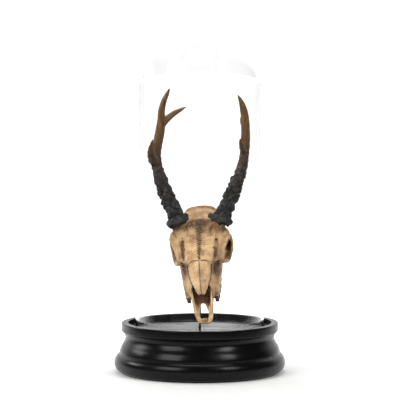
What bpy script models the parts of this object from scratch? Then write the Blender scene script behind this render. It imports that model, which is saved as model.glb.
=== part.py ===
"""A roe buck's skull with its antlers, held on a thin rod under a glass dome with a turned base.

The origin is the middle of the base's underside, +Z is up and the front faces -Y.
The tables below are in millimetres and MM turns them into metres.
The skull is modelled in a frame of its own: x to its left or right, y back from the tip of
the snout, z up from the palate. At the end it is bent, tilted nose down and set on the rod.
"""

import math
import random

import bmesh
import bpy
from mathutils import Matrix, Vector

MM = 0.001
GAP = 0.3

# The base, from its floor up: the profile's main radii and heights.
BASE_RADIUS = 122.3
BASE_FOOT_RADIUS = 113
BASE_TORUS_HEIGHT = 27
BASE_NECK_RADIUS = 106.3
BASE_RIM_RADIUS = 112.2
BASE_RIM_HEIGHT = 71.5
BASE_RECESS_RADIUS = 102.5
BASE_RECESS_FLOOR = 63
BASE_SEGMENTS = 48
DISC_RADIUS = 87.5
DISC_HEIGHT = 65.3

# The glass dome stands on the recess floor, between the disc and the rim.
DOME_RADIUS = 92.3
DOME_WALL = 3
DOME_SHOULDER = 413
DOME_TOP = 508
DOME_SEGMENTS = 48
DOME_ARC_STEPS = 8

ROD_RADIUS = 1.75
ROD_TOP = 155

# The skull's pose on the rod.
SNOUT_PLACE = (1.1, -71, 80)
NOSE_DOWN = math.radians(38)
TURN = math.radians(-2.2)
ROLL = math.radians(-5.5)
SNOUT_BEND = 6.4
BEND_START = 83
BEND_POWER = 1.5

CLAY_VOXEL = 1.1
SKULL_TRIANGLES = 4400

# The face and forehead: distance back, palate height, then half-width and height
# at the jaw, the side and the brow, and the height of the midline.
FACE_SECTIONS = (
    (44, 1.5, 16, 2, 16.5, 10, 13.5, 20, 25.6),
    (54, 1.5, 23, 3, 19.5, 14, 15, 25.5, 29.6),
    (66, 2, 26.5, 3.5, 22, 17, 16.5, 30, 34.2),
    (80, 2.5, 28, 4, 25, 19, 19, 34, 39),
    (92, 3, 30, 6, 29.5, 22, 26.5, 37.5, 42.6),
    (104, 3, 28.5, 8, 32, 24, 33, 41.4, 46),
    (116, 4, 23, 9, 32, 27, 37.5, 44, 48.6),
    (128, 6, 14, 10, 24, 29, 38.5, 46.5, 51),
    (138, 7, 13, 10, 24, 30, 33, 50, 53),
    (148, 8, 13, 10, 27, 30, 28, 52, 56),
)

# The snout in front of the face: distance back, half-width, floor and upper edge.
SNOUT_SECTIONS = (
    (-6.5, 6.5, 0.5, 4.5),
    (-3.6, 9.6, 0, 6),
    (2.8, 12, -0.3, 7.4),
    (14.4, 13.6, -0.3, 10),
    (28.4, 14.8, 0, 14.6),
    (40, 15.8, 0.5, 19),
    (50, 17, 1, 23.5),
)

# The roof of the nose: distance back, half-width and height of the midline.
NASAL_SECTIONS = (
    (33.5, 4.4, 21.4),
    (37, 6.6, 22.9),
    (42, 8.6, 24.9),
    (48, 10.8, 27.3),
    (56, 13.8, 30.5),
    (68, 16.2, 35),
    (78, 17, 38.4),
    (83, 15, 40),
)
NASAL_THICKNESS = 2.4
NASAL_DROP = 0.028

# The braincase: distance back, half-width, floor and roof.
BRAINCASE_SECTIONS = (
    (130, 22, 13, 49),
    (142, 29.5, 9, 54.5),
    (155, 32, 8, 57.6),
    (166, 31.5, 8, 57.6),
    (176, 29, 9, 54),
    (184, 24.5, 10.5, 49),
    (189, 18.5, 13, 43),
    (192, 11, 16, 33),
)

# Each orbit's rim, as points around the eye: x, y, z, thickness across and along the rim.
ORBIT_RIM = (
    (31.5, 99, 28, 2.6, 2.8),
    (34.5, 107.5, 38.8, 2.8, 2.6),
    (38.6, 118.5, 43.4, 3, 2.4),
    (42, 128.5, 42, 2.8, 2.6),
    (43.8, 136.5, 32, 2.2, 3.2),
    (43.6, 134, 17, 2.2, 3.2),
    (40.4, 122, 10, 2.4, 3.4),
    (35.4, 110, 12, 2.6, 3.8),
    (32, 102, 19, 2.6, 3),
)
ORBIT_FLOOR_PLACE = (35, 129, 9.5)
ORBIT_FLOOR_RADII = (9, 23, 4)
ORBIT_CENTRE = (43, 118.5, 27.5)
ORBIT_RADII = (23, 17, 16.2)
ORBIT_TURN = math.radians(-18)

CHEEK_BAR = (
    (43.2, 130, 13, 2.2, 4.4),
    (43, 142, 15.5, 2.4, 4.4),
    (39.5, 151, 17.5, 4, 5),
    (34, 157, 18.5, 6.4, 5.4),
    (26, 162, 20, 6.4, 5),
)
NUCHAL_CREST = (
    (27, 171, 30, 1.8, 2.4),
    (26.5, 178.5, 37, 1.7, 2.4),
    (21, 185.5, 44.2, 1.6, 2.4),
    (11, 187.6, 47.6, 1.6, 2.4),
    (0, 188, 48.2, 1.6, 2.4),
)
SKULL_BASE = (
    (0, 110, 12, 10, 9),
    (0, 130, 12, 8, 5),
    (0, 150, 10.5, 9, 5),
    (0, 170, 9.5, 11, 5),
    (0, 187, 12, 12, 5),
)
PTERYGOID = (
    (9, 108, 3, 1.6, 4),
    (8.4, 118, 4.5, 1.5, 5),
    (8, 127, 7, 1.4, 5),
)
SIDE_PROCESS = (
    (21, 177, 17, 4.5, 4),
    (21.5, 181, 6, 3.2, 3.4),
    (19.5, 182, -4, 2, 2.6),
    (18.5, 181, -9, 1.4, 1.6),
)
PEDICLE = (
    (24, 128, 42, 11, 11),
    (28.4, 134.5, 53, 9.6, 9.6),
    (30.6, 138, 62, 8.8, 8.8),
    (32.6, 140, 70, 8.8, 8.8),
)
CONDYLE_PLACE = (9, 191, 15)
CONDYLE_RADII = (6, 6.5, 8)
BROW_PLACE = (35.5, 130, 46)
BROW_RADII = (8, 9, 7)
TEMPLE_PLACE = (32, 145, 25)
TEMPLE_RADII = (9, 12, 15)
BULLA_PLACE = (16, 162, 6)
BULLA_RADII = (6.5, 10, 6.5)
TIP_NUB_PLACE = (1.9, -1.4, 5)
TIP_NUB_RADII = (1.9, 3, 3.2)

# Each cheek tooth, front to back: distance back of its middle, x, length, width.
TEETH = (
    (50, 20.2, 8, 7),
    (59, 21, 8.6, 8.6),
    (68, 21.6, 8.4, 9.6),
    (77.5, 22.4, 10.6, 11),
    (88.5, 22.4, 11.2, 11.4),
    (99.5, 21.4, 10.8, 10.6),
)
TOOTH_TIP = -10.5
TOOTH_ROOT = 5

# What is hollow: the nose, the hole in its floor, the pits in front of the eyes,
# the grooves over them and the opening for the spine.
NOSE_TUNNEL = (
    (-14.5, 6.2, 3.2, 40),
    (-1.8, 6.4, 4, 40),
    (4, 8, 3.6, 40),
    (14.4, 9.6, 3, 40),
    (28.4, 11.2, 2.6, 40),
    (40, 12.4, 2.6, 40),
    (48, 13, 3, 40),
    (54, 12.8, 4, 40),
    (56, 12.2, 4.6, 27.4),
    (60, 11, 5.6, 28),
    (68, 8.6, 8, 31),
    (76, 4, 14, 29),
)
PALATE_HOLE = (
    (2.2, 3.4),
    (5, 5.6),
    (11, 6.4),
    (18, 6),
    (26, 4.4),
    (31.8, 2.8),
    (36, 1),
)
TEAR_PIT_PLACE = (26.8, 78, 27.5)
TEAR_PIT_RADII = (8.8, 13.4, 9)
BROW_GROOVE = (
    (22.5, 86, 37.5, 2, 2.6),
    (24, 97, 42.6, 3.2, 4),
    (24.6, 109, 46.3, 3.8, 4.6),
    (24.6, 119, 48.8, 3.4, 3.8),
    (24, 127, 52, 2, 2.2),
)
SPINE_HOLE_PLACE = (0, 193, 22)
SPINE_HOLE_RADII = (7.5, 15, 6.5)
THROAT_PLACE = (0, 118, 0)
THROAT_RADII = (6.4, 12, 11)

# Where the skull's bones part, in side view: distance back and height.
CROWN_SEAM = ((152, 80), (149, 54), (147, 30), (140, 12), (137, -30))
FACE_SEAM = ((82, 80), (83.6, 42), (88, 34), (93, 26), (102, 14), (112, 4), (118, -30))
JAW_SEAM = ((56, 60), (50, 25), (40, 12), (33.5, 2), (31, -30))

# Each antler: x, y, z and radius along the beam and along its two tines.
LEFT_BEAM = (
    (-29.6, -1.5, 212, 10.4),
    (-36.4, -3.5, 229.5, 10.6),
    (-42.4, -5, 242.5, 9.8),
    (-48.8, -6.5, 257, 8.9),
    (-54.5, -8.5, 271.4, 8.2),
    (-58.2, -10, 284.3, 7.5),
    (-60.8, -11.5, 297.3, 6.9),
    (-61.8, -13, 310.2, 6.6),
    (-60.6, -15, 323.1, 6.8),
    (-57.8, -17, 336, 6.9),
    (-55.6, -19, 349, 6.7),
    (-54.3, -21, 361.7, 5.7),
    (-54, -23, 373.2, 5),
    (-52, -25, 383.1, 4.4),
    (-48.2, -27, 393.1, 3.6),
    (-45, -28, 400.2, 2.5),
    (-42.4, -29, 405.9, 0.8),
)
LEFT_FRONT_TINE = (
    (-60.6, -12, 300, 3),
    (-64.6, -19.5, 303, 6.9),
    (-67.8, -29, 312.5, 5.6),
    (-67.4, -39, 323, 3.9),
    (-65.2, -46, 334.5, 0.6),
)
LEFT_REAR_TINE = (
    (-55, -19, 350.5, 4.6),
    (-49.6, -15, 359, 5.2),
    (-43.6, -9, 364.8, 4.8),
    (-36.4, -3, 370, 4.1),
    (-28.6, 3, 374.4, 3),
    (-20, 8, 378.6, 0.8),
)
RIGHT_BEAM = (
    (30, -2.5, 214.5, 10.2),
    (35.5, -4, 233, 10.2),
    (42.2, -5.5, 246.5, 9.4),
    (47.3, -7, 258, 9),
    (51.2, -8.5, 269.6, 8.3),
    (55.8, -10, 281.1, 7.6),
    (59.5, -11.5, 292.6, 6.9),
    (61.9, -13, 304.2, 6.6),
    (63.5, -15, 318.5, 6.5),
    (64.4, -17, 333, 6.5),
    (64.5, -19, 346, 6.3),
    (63.9, -21, 359, 6.1),
    (62.6, -23, 370.4, 5.5),
    (60.6, -25, 379, 4.9),
    (58.4, -27, 386, 3.8),
    (55.9, -28, 391.8, 2.4),
    (53.2, -29, 396.6, 0.8),
)
RIGHT_FRONT_TINE = (
    (63, -16, 316.5, 3.8),
    (61.2, -22, 319, 5.2),
    (59.4, -31, 324.5, 4.3),
    (57.6, -39, 330, 3.1),
    (56.2, -45, 335.5, 0.8),
)
RIGHT_REAR_TINE = (
    (64.2, -18.5, 348.5, 4),
    (62.2, -11, 353.5, 4.4),
    (60.6, -2, 358.5, 3.8),
    (60.2, 7, 362.5, 3),
    (60.4, 16, 367, 0.5),
)
BEAM_SPLIT = 328
BURR_WIDTHS = (11, 14.6, 15.4, 13.8, 11)
BURR_STEP = 2.6
BEAM_STEP = 4.2
BEAM_SIDES = 14
TINE_SIDES = 10
TINE_STEP = 5
PEARL_HEIGHT = 2.1
PEARL_FADE_START = 285
PEARL_FADE_END = 345

BONE = (0.586, 0.397, 0.184, 1)
ANTLER = (0.03, 0.024, 0.02, 1)
LACQUER = (0.012, 0.012, 0.013, 1)
STEEL = (0.25, 0.24, 0.23, 1)
GLASS = (0.9, 0.93, 0.93, 1)


def clear_scene():
    for item in list(bpy.data.objects):
        bpy.data.objects.remove(item)


def make_collection(name):
    collection = bpy.data.collections.new(name)
    bpy.context.scene.collection.children.link(collection)
    return collection


def make_material(name, colour, roughness, metallic=0.0, transmission=0.0):
    material = bpy.data.materials.new(name)
    material.use_nodes = True
    shader = material.node_tree.nodes["Principled BSDF"]
    shader.inputs["Base Color"].default_value = colour
    shader.inputs["Roughness"].default_value = roughness
    shader.inputs["Metallic"].default_value = metallic
    shader.inputs["Transmission Weight"].default_value = transmission
    material.diffuse_color = colour
    return material


def make_object(name, bm):
    """Turns a bmesh in metres into an object among the guides."""
    mesh = bpy.data.meshes.new(name)
    bm.to_mesh(mesh)
    bm.free()
    item = bpy.data.objects.new(name, mesh)
    bpy.data.collections["guides"].objects.link(item)
    item.hide_render = True
    item.display_type = "WIRE"
    return item


def evaluated_mesh(item):
    bpy.context.view_layer.update()
    depsgraph = bpy.context.evaluated_depsgraph_get()
    return bpy.data.meshes.new_from_object(item.evaluated_get(depsgraph))


def settle(item):
    """Replaces an object's mesh with the result of its modifiers."""
    mesh = evaluated_mesh(item)
    item.modifiers.clear()
    item.data = mesh


def combine(item, others, operation):
    """Cuts, joins or crosses an object with the others, which are then removed."""
    for other in others:
        modifier = item.modifiers.new(other.name, "BOOLEAN")
        modifier.operation = operation
        modifier.solver = "EXACT"
        modifier.object = other
    settle(item)
    for other in others:
        bpy.data.objects.remove(other)


def smooth_curve(points, spacing):
    """Rows about a spacing apart along a Catmull-Rom curve through rows of any length."""
    rows = [tuple(2 * a - b for a, b in zip(points[0], points[1])), *points]
    rows.append(tuple(2 * a - b for a, b in zip(points[-1], points[-2])))
    result = []
    for before, start, end, after in zip(rows, rows[1:], rows[2:], rows[3:]):
        steps = max(1, round((Vector(end[:3]) - Vector(start[:3])).length / spacing))
        for step in range(steps):
            t = step / steps
            result.append(tuple(
                0.5 * (2 * b + (c - a) * t + (2 * a - 5 * b + 4 * c - d) * t**2
                       + (3 * b - a - 3 * c + d) * t**3)
                for a, b, c, d in zip(before, start, end, after)))
    result.append(tuple(points[-1]))
    return result


def skin(name, rings, loop=False):
    """A closed surface through rings of points in millimetres, capped unless it loops."""
    bm = bmesh.new()
    loops = [[bm.verts.new(Vector(point) * MM) for point in ring] for ring in rings]
    following = loops[1:] + loops[:1] if loop else loops[1:]
    for first, second in zip(loops, following):
        for i in range(len(first)):
            j = (i + 1) % len(first)
            bm.faces.new((first[i], first[j], second[j], second[i]))
    if not loop:
        bm.faces.new(reversed(loops[0]))
        bm.faces.new(loops[-1])
    bmesh.ops.recalc_face_normals(bm, faces=bm.faces)
    if bm.calc_volume(signed=True) < 0:
        bmesh.ops.reverse_faces(bm, faces=bm.faces)
    return make_object(name, bm)


def oval_loft(name, sections, sides=28, squareness=2.4):
    """A loft through rounded sections, each a distance back, half-width, floor and roof."""
    rings = []
    for back, half_width, floor, roof in smooth_curve([(s[0], s[1], s[2], s[3]) for s in sections], 5):
        ring = []
        for i in range(sides):
            angle = math.tau * i / sides
            across = math.copysign(abs(math.cos(angle)) ** (2 / squareness), math.cos(angle))
            upward = math.copysign(abs(math.sin(angle)) ** (2 / squareness), math.sin(angle))
            ring.append((half_width * across, back, (floor + roof) / 2 + (roof - floor) / 2 * upward))
        rings.append(ring)
    return skin(name, rings)


def face_loft(name, sections):
    """A loft through sections that run from the palate round the jaw and brow to the midline."""
    rings = []
    for row in smooth_curve(sections, 6):
        back, palate, jaw_x, jaw_z, side_x, side_z, brow_x, brow_z, crown = row
        outline = (
            (0, palate), (jaw_x - 8, palate - 0.5), (jaw_x - 1.5, jaw_z - 3), (jaw_x, jaw_z + 2),
            (side_x, side_z), (brow_x, brow_z), (brow_x * 0.55, crown - 1), (0, crown),
        )
        half = smooth_curve([(x, 0, z) for x, z in outline], 3)
        count = 20
        half = [half[round(i * (len(half) - 1) / (count - 1))] for i in range(count)]
        right = [(x, back, z) for x, _, z in half]
        left = [(-x, back, z) for x, _, z in reversed(half[1:-1])]
        rings.append(right + left)
    return skin(name, rings)


def bar(name, points, side=1, loop=False, spacing=3, sides=12):
    """A rounded bar along a curve, whose rows also hold half its width and half its height."""
    rows = smooth_curve([*points, points[0]] if loop else points, spacing)
    rows = rows[:-1] if loop else rows
    places = [Vector((row[0] * side, row[1], row[2])) for row in rows]
    rings = []
    for i, row in enumerate(rows):
        before = places[i - 1] if loop or i else places[0]
        after = places[(i + 1) % len(places)] if loop or i + 1 < len(places) else places[-1]
        along = (after - before).normalized()
        outward = Vector((side, 0, 0)) if abs(along.x) < 0.8 else Vector((0, 1, 0))
        high = along.cross(outward).normalized()
        wide = high.cross(along).normalized()
        rings.append([
            places[i] + wide * row[3] * math.cos(math.tau * k / sides)
            + high * row[4] * math.sin(math.tau * k / sides)
            for k in range(sides)])
    return skin(name, rings, loop)


def ball(name, place, radii, side=1, turn=0.0):
    bm = bmesh.new()
    bmesh.ops.create_uvsphere(bm, u_segments=24, v_segments=14, radius=1)
    shape = Matrix.Diagonal((*radii, 1))
    turned = Matrix.Rotation(turn * side, 4, "Z") @ shape
    moved = Matrix.Translation((place[0] * side, place[1], place[2])) @ turned
    bmesh.ops.transform(bm, matrix=Matrix.Scale(MM, 4) @ moved, verts=bm.verts)
    return make_object(name, bm)


def tooth(name, back, across, length, width, side):
    """A cheek tooth of two lobes, each with a ridge that runs along the row."""
    rings = []
    for part in range(7):
        t = part / 6
        lobe = 0.82 + 0.18 * abs(math.sin(math.tau * t))
        notch = 1.6 * (1 - abs(math.sin(math.tau * t)))
        y = back + length * (t - 0.5)
        half = width / 2 * lobe
        x = across * side
        rings.append([
            (x - half, y, TOOTH_ROOT), (x + half, y, TOOTH_ROOT),
            (x + half * 0.9, y, TOOTH_TIP + notch), (x + half * 0.25, y, TOOTH_TIP + 2 + notch),
            (x - half * 0.25, y, TOOTH_TIP + 2 + notch), (x - half * 0.9, y, TOOTH_TIP + notch),
        ])
    return skin(name, rings)


def nasal_roof(name):
    """The two nasal bones as one arched plate over the nose."""
    rings = []
    for back, half_width, crown in smooth_curve(NASAL_SECTIONS, 4):
        across = [half_width * k / 6 for k in range(-6, 7)]
        top = [(x, back, crown - NASAL_DROP * x * x * 10 / half_width) for x in across]
        under = [(x, y, z - NASAL_THICKNESS) for x, y, z in reversed(top)]
        rings.append(top + under)
    return skin(name, rings)


def palate_hole():
    """The one wide opening behind the front of the snout, through its floor."""
    rings = []
    for back, half_width in smooth_curve([(y, w) for y, w in PALATE_HOLE], 2):
        rings.append([
            (-half_width, back, -6), (half_width, back, -6), (half_width, back, 9), (-half_width, back, 9)])
    return skin("palate hole", rings)


def nose_tunnel():
    """The hollow of the nose, open at the top in front of the nasal bones."""
    rings = []
    for back, half_width, floor, roof in smooth_curve(NOSE_TUNNEL, 3):
        middle = (floor + roof) / 2
        rings.append([
            (-half_width * 0.7, back, floor), (half_width * 0.7, back, floor),
            (half_width, back, floor + 3), (half_width, back, middle),
            (half_width * 0.92, back, roof - 2), (half_width * 0.6, back, roof),
            (-half_width * 0.6, back, roof), (-half_width * 0.92, back, roof - 2),
            (-half_width, back, middle), (-half_width, back, floor + 3),
        ])
    return skin("nose tunnel", rings)


def join_shells(name, items):
    """Puts several closed shells in one mesh, for the remesh to fuse."""
    bm = bmesh.new()
    for item in items:
        bm.from_mesh(item.data)
        bpy.data.objects.remove(item)
    return make_object(name, bm)


def fuse(item, voxel, smoothing):
    """Fuses overlapping shells into one skin and softens it."""
    remesh = item.modifiers.new("fuse", "REMESH")
    remesh.mode = "VOXEL"
    remesh.voxel_size = voxel * MM
    soften = item.modifiers.new("soften", "SMOOTH")
    soften.factor = 0.5
    soften.iterations = smoothing
    settle(item)


def skull_masses():
    return join_shells("skull masses", [
        face_loft("face", FACE_SECTIONS),
        oval_loft("snout", SNOUT_SECTIONS, squareness=3),
        oval_loft("braincase", BRAINCASE_SECTIONS),
        bar("skull base", SKULL_BASE),
    ])


def skull_hollows():
    hollows = [
        nose_tunnel(),
        palate_hole(),
        ball("spine hole", SPINE_HOLE_PLACE, SPINE_HOLE_RADII),
        ball("throat", THROAT_PLACE, THROAT_RADII),
    ]
    for side in (-1, 1):
        hollows.append(ball("orbit", ORBIT_CENTRE, ORBIT_RADII, side, ORBIT_TURN))
        hollows.append(ball("tear pit", TEAR_PIT_PLACE, TEAR_PIT_RADII, side))
        hollows.append(bar("brow groove", BROW_GROOVE, side))
    return hollows


def skull_additions():
    additions = [nasal_roof("nasal roof")]
    for side in (-1, 1):
        additions += [
            bar("orbit rim", ORBIT_RIM, side, loop=True),
            bar("cheek bar", CHEEK_BAR, side),
            bar("nuchal crest", NUCHAL_CREST, side),
            ball("orbit floor", ORBIT_FLOOR_PLACE, ORBIT_FLOOR_RADII, side),
            bar("pterygoid", PTERYGOID, side),
            bar("side process", SIDE_PROCESS, side),
            bar("pedicle", PEDICLE, side, sides=16),
            ball("condyle", CONDYLE_PLACE, CONDYLE_RADII, side),
            ball("brow", BROW_PLACE, BROW_RADII, side),
            ball("temple", TEMPLE_PLACE, TEMPLE_RADII, side),
            ball("bulla", BULLA_PLACE, BULLA_RADII, side),
            ball("tip nub", TIP_NUB_PLACE, TIP_NUB_RADII, side),
        ]
        additions += [tooth("tooth", *sizes, side) for sizes in TEETH]
    return additions


def model_skull():
    """The whole skull as one solid, before it is parted into bones."""
    skull = skull_masses()
    fuse(skull, CLAY_VOXEL, 6)
    combine(skull, skull_hollows(), "DIFFERENCE")
    skull = join_shells("skull", [skull, *skull_additions()])
    fuse(skull, CLAY_VOXEL, 3)
    thin_out(skull, SKULL_TRIANGLES)
    return skull


def thin_out(item, triangles):
    count = sum(len(face.vertices) - 2 for face in item.data.polygons)
    decimate = item.modifiers.new("thin out", "DECIMATE")
    decimate.ratio = min(1, triangles / count)
    settle(item)


def side_region(name, front, rear, near, far):
    """A slab between two seams in side view, from one distance off the midline to another."""
    outline = [(y + GAP / 2, z) for y, z in front] + [(y - GAP / 2, z) for y, z in reversed(rear)]
    return skin(name, [[(x, y, z) for y, z in outline] for x in (near, far)])


def nasal_region(side, grow):
    """The space of one nasal bone, wider and deeper by an amount."""
    rings = []
    for back, half_width, crown in smooth_curve(NASAL_SECTIONS, 6):
        outer = half_width + 0.4 + grow
        inner = GAP / 2 - grow
        deep = NASAL_THICKNESS + grow
        bend = NASAL_DROP * 10 * half_width
        back = back + grow * (1 if back > 80 else 0)
        rings.append([
            (side * inner, back, crown - deep), (side * outer * 0.6, back, crown - deep - bend * 0.3),
            (side * outer, back, crown - deep - bend * 0.9), (side * outer, back, crown + 9),
            (side * inner, back, crown + 9),
        ])
    first = [(x, y - 8, z) for x, y, z in rings[0]]
    return skin("nasal region", [first, *rings])


def region_copy(item, name):
    copy = item.copy()
    copy.data = item.data.copy()
    copy.name = name
    bpy.data.collections["guides"].objects.link(copy)
    return copy


def part_bones(skull):
    """Parts the skull along its seams, with a narrow gap at each."""
    far = 70
    front_end = ((-20, 80), (-20, -30))
    back_end = ((230, 80), (230, -30))
    bones = {}
    cuts = {"braincase": (CROWN_SEAM, back_end, -far, far)}
    for label, side in (("left", -1), ("right", 1)):
        near = side * GAP / 2
        cuts[f"frontal_{label}"] = (FACE_SEAM, CROWN_SEAM, near, side * far)
        cuts[f"upper_jaw_{label}"] = (JAW_SEAM, FACE_SEAM, near, side * far)
        cuts[f"premaxilla_{label}"] = (front_end, JAW_SEAM, near, side * far)
        nasal = region_copy(skull, f"nasal_{label}")
        combine(nasal, [nasal_region(side, 0)], "INTERSECT")
        bones[nasal.name] = nasal
    for name, (front, rear, near, end) in cuts.items():
        bone = region_copy(skull, name)
        combine(bone, [side_region("seam", front, rear, near, end)], "INTERSECT")
        if not name.startswith("braincase"):
            side = -1 if name.endswith("left") else 1
            combine(bone, [nasal_region(side, GAP)], "DIFFERENCE")
        bones[name] = bone
    bpy.data.objects.remove(skull)
    return bones


def pose_skull(item):
    """Bends the snout aside, rolls the skull on its long axis, tips the nose down and turns it."""
    pose = (
        Matrix.Translation(Vector(SNOUT_PLACE) * MM)
        @ Matrix.Rotation(TURN, 4, "Z")
        @ Matrix.Rotation(NOSE_DOWN, 4, "X")
        @ Matrix.Rotation(ROLL, 4, "Y")
    )
    for vertex in item.data.vertices:
        reach = max(0.0, 1 - vertex.co.y / (BEND_START * MM))
        vertex.co.x += SNOUT_BEND * MM * reach**BEND_POWER
        vertex.co = pose @ vertex.co
    item.data.update()


def sweep_rings(rows, sides, radius_at):
    """Round rings square to a curve, carried along without twist."""
    places = [Vector(row[:3]) for row in rows]
    side_vector = Vector((1, 0, 0))
    rings = []
    for i, place in enumerate(places):
        along = (places[min(i + 1, len(places) - 1)] - places[max(i - 1, 0)]).normalized()
        side_vector = (side_vector - along * side_vector.dot(along)).normalized()
        other = along.cross(side_vector)
        ring = []
        for k in range(sides):
            angle = math.tau * k / sides
            reach = radius_at(i, k, rows[i])
            ring.append(place + side_vector * reach * math.cos(angle) + other * reach * math.sin(angle))
        rings.append(ring)
    return rings


def pearl_amount(height):
    """How strongly an antler is pearled at a height: fully by the burr, not at all near its tips."""
    share = (PEARL_FADE_END - height) / (PEARL_FADE_END - PEARL_FADE_START)
    return min(1.0, max(0.0, share))


def burr_rows(rows):
    """The swelling round an antler's foot, along the first stretch of its beam."""
    start = Vector(rows[0][:3])
    along = (Vector(rows[1][:3]) - start).normalized()
    return [(*(start + along * BURR_STEP * i), width) for i, width in enumerate(BURR_WIDTHS)]


def pearl_rows(rows, sides, seed):
    """The height of each pearl round each row, alternating from row to row."""
    chance = random.Random(seed)
    return [
        [PEARL_HEIGHT * pearl_amount(row[2]) * (chance.uniform(0.35, 1) if (i + k) % 2 else -0.15)
         for k in range(sides)]
        for i, row in enumerate(rows)]


def pearled_rings(rows, pearls, grow=0.0):
    """The rings of a tube whose rows hold a place and a radius, with its pearls raised on it."""
    return sweep_rings(rows, len(pearls[0]), lambda i, k, row: row[3] + pearls[i][k] + grow)


def beam_rows(points):
    """The beam's rows, with the burr at the foot."""
    rows = smooth_curve(points, BEAM_STEP)
    burr = burr_rows(rows)
    return burr + [row for row in rows if row[2] > burr[-1][2] + 2]


def make_antler(label, beam, front_tine, rear_tine, seed):
    """A beam in two stretches and two tines, each tine cut where it meets the beam."""
    rows = beam_rows(beam)
    pearls = pearl_rows(rows, BEAM_SIDES, seed)
    rings = pearled_rings(rows, pearls)
    split = next(i for i, row in enumerate(rows) if row[2] > BEAM_SPLIT)
    upward = (Vector(rows[split + 1][:3]) - Vector(rows[split - 1][:3])).normalized() * GAP
    raised = [point + upward for point in rings[split]]
    pieces = {
        f"antler_{label}_beam": skin("beam", rings[:split + 1]),
        f"antler_{label}_top": skin("top", [raised, *rings[split + 1:]]),
    }
    for name, points in (("front_tine", front_tine), ("rear_tine", rear_tine)):
        tine_rows = smooth_curve(points, TINE_STEP)
        tine_pearls = pearl_rows(tine_rows, TINE_SIDES, seed)
        tine = skin(name, pearled_rings(tine_rows, tine_pearls))
        combine(tine, [skin("fork", pearled_rings(rows, pearls, GAP))], "DIFFERENCE")
        pieces[f"antler_{label}_{name}"] = tine
    return pieces, rows


def burr_seat(beam):
    """The space that an antler's foot takes from the top of its pedicle."""
    start = Vector(beam[0][:3])
    along = (Vector(beam[1][:3]) - start).normalized()
    seat_radius = 19
    seat_depth = 24
    rows = [(*(start - along * GAP), seat_radius), (*(start + along * seat_depth), seat_radius)]
    return skin("burr seat", sweep_rings(rows, 24, lambda i, k, row: row[3]))


def turned(name, profile, segments):
    """A closed turned solid from a profile of radius and height, which starts and ends on the axis."""
    bm = bmesh.new()
    points = [bm.verts.new((radius * MM, 0, height * MM)) for radius, height in profile]
    for first, second in zip(points, points[1:]):
        bm.edges.new((first, second))
    item = make_object(name, bm)
    screw = item.modifiers.new("turn", "SCREW")
    screw.steps = segments
    screw.render_steps = segments
    screw.use_merge_vertices = True
    screw.merge_threshold = 0.00001
    settle(item)
    return item


def arc(centre_radius, centre_height, radii, start, end, steps):
    """Points on an oval arc of a profile, by its angles in degrees."""
    points = []
    for i in range(steps + 1):
        angle = math.radians(start + (end - start) * i / steps)
        points.append((centre_radius + radii[0] * math.cos(angle), centre_height + radii[1] * math.sin(angle)))
    return points


def base_profile():
    torus_middle = BASE_TORUS_HEIGHT / 2 + 1
    torus_centre = BASE_RADIUS - 10.5
    return [
        (0, BASE_RECESS_FLOOR),
        (BASE_RECESS_RADIUS, BASE_RECESS_FLOOR),
        (BASE_RECESS_RADIUS, BASE_RIM_HEIGHT),
        (BASE_RIM_RADIUS - 1.5, BASE_RIM_HEIGHT),
        (BASE_RIM_RADIUS, BASE_RIM_HEIGHT - 1.5),
        (BASE_RIM_RADIUS, 60),
        (109, 57),
        (107.5, 54.5),
        (BASE_NECK_RADIUS, 51.5),
        (107, 48),
        (109, 43.5),
        (112.3, 38),
        (114.3, 33),
        (115.2, 29.5),
        (115.2, BASE_TORUS_HEIGHT),
        *arc(torus_centre, torus_middle, (10.5, 13.2), 65, -72, 7),
        (BASE_FOOT_RADIUS, 0),
        (0, 0),
    ]


def dome_profile():
    rise = DOME_TOP - DOME_SHOULDER
    inner = DOME_RADIUS - DOME_WALL
    foot = BASE_RECESS_FLOOR + GAP
    outside = arc(0, DOME_SHOULDER, (DOME_RADIUS, rise), 90, 0, DOME_ARC_STEPS)
    inside = arc(0, DOME_SHOULDER, (inner, rise - DOME_WALL), 0, 90, DOME_ARC_STEPS)
    profile = [*outside, (DOME_RADIUS, foot), (inner, foot), *inside]
    return [(0, DOME_TOP), *profile[1:-1], (0, DOME_TOP - DOME_WALL)]


def cylinder(name, radius, bottom, top, sides):
    bm = bmesh.new()
    middle = (bottom + top) / 2 * MM
    bmesh.ops.create_cone(
        bm, cap_ends=True, segments=sides, radius1=radius * MM, radius2=radius * MM,
        depth=(top - bottom) * MM, matrix=Matrix.Translation((0, 0, middle)))
    return make_object(name, bm)


def make_disc():
    disc = turned("base_disc", [
        (0, DISC_HEIGHT), (DISC_RADIUS - 0.8, DISC_HEIGHT), (DISC_RADIUS, DISC_HEIGHT - 0.8),
        (DISC_RADIUS, BASE_RECESS_FLOOR + GAP), (0, BASE_RECESS_FLOOR + GAP)], DOME_SEGMENTS)
    hole = cylinder("rod hole", ROD_RADIUS + GAP, 50, 80, 16)
    combine(disc, [hole], "DIFFERENCE")
    return disc


def keep_largest(item):
    """Keeps the largest closed surface of a mesh and triangulates it."""
    bm = bmesh.new()
    bm.from_mesh(item.data)
    bmesh.ops.triangulate(bm, faces=bm.faces)
    bmesh.ops.dissolve_degenerate(bm, edges=bm.edges, dist=0.002 * MM)
    bmesh.ops.triangulate(bm, faces=bm.faces)
    left = set(bm.verts)
    islands = []
    while left:
        queue = [left.pop()]
        island = set(queue)
        while queue:
            vertex = queue.pop()
            for edge in vertex.link_edges:
                other = edge.other_vert(vertex)
                if other not in island:
                    island.add(other)
                    left.discard(other)
                    queue.append(other)
        islands.append(island)
    largest = max(islands, key=len)
    spare = [vertex for vertex in bm.verts if vertex not in largest]
    bmesh.ops.delete(bm, geom=spare, context="VERTS")
    bm.to_mesh(item.data)
    bm.free()


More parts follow.
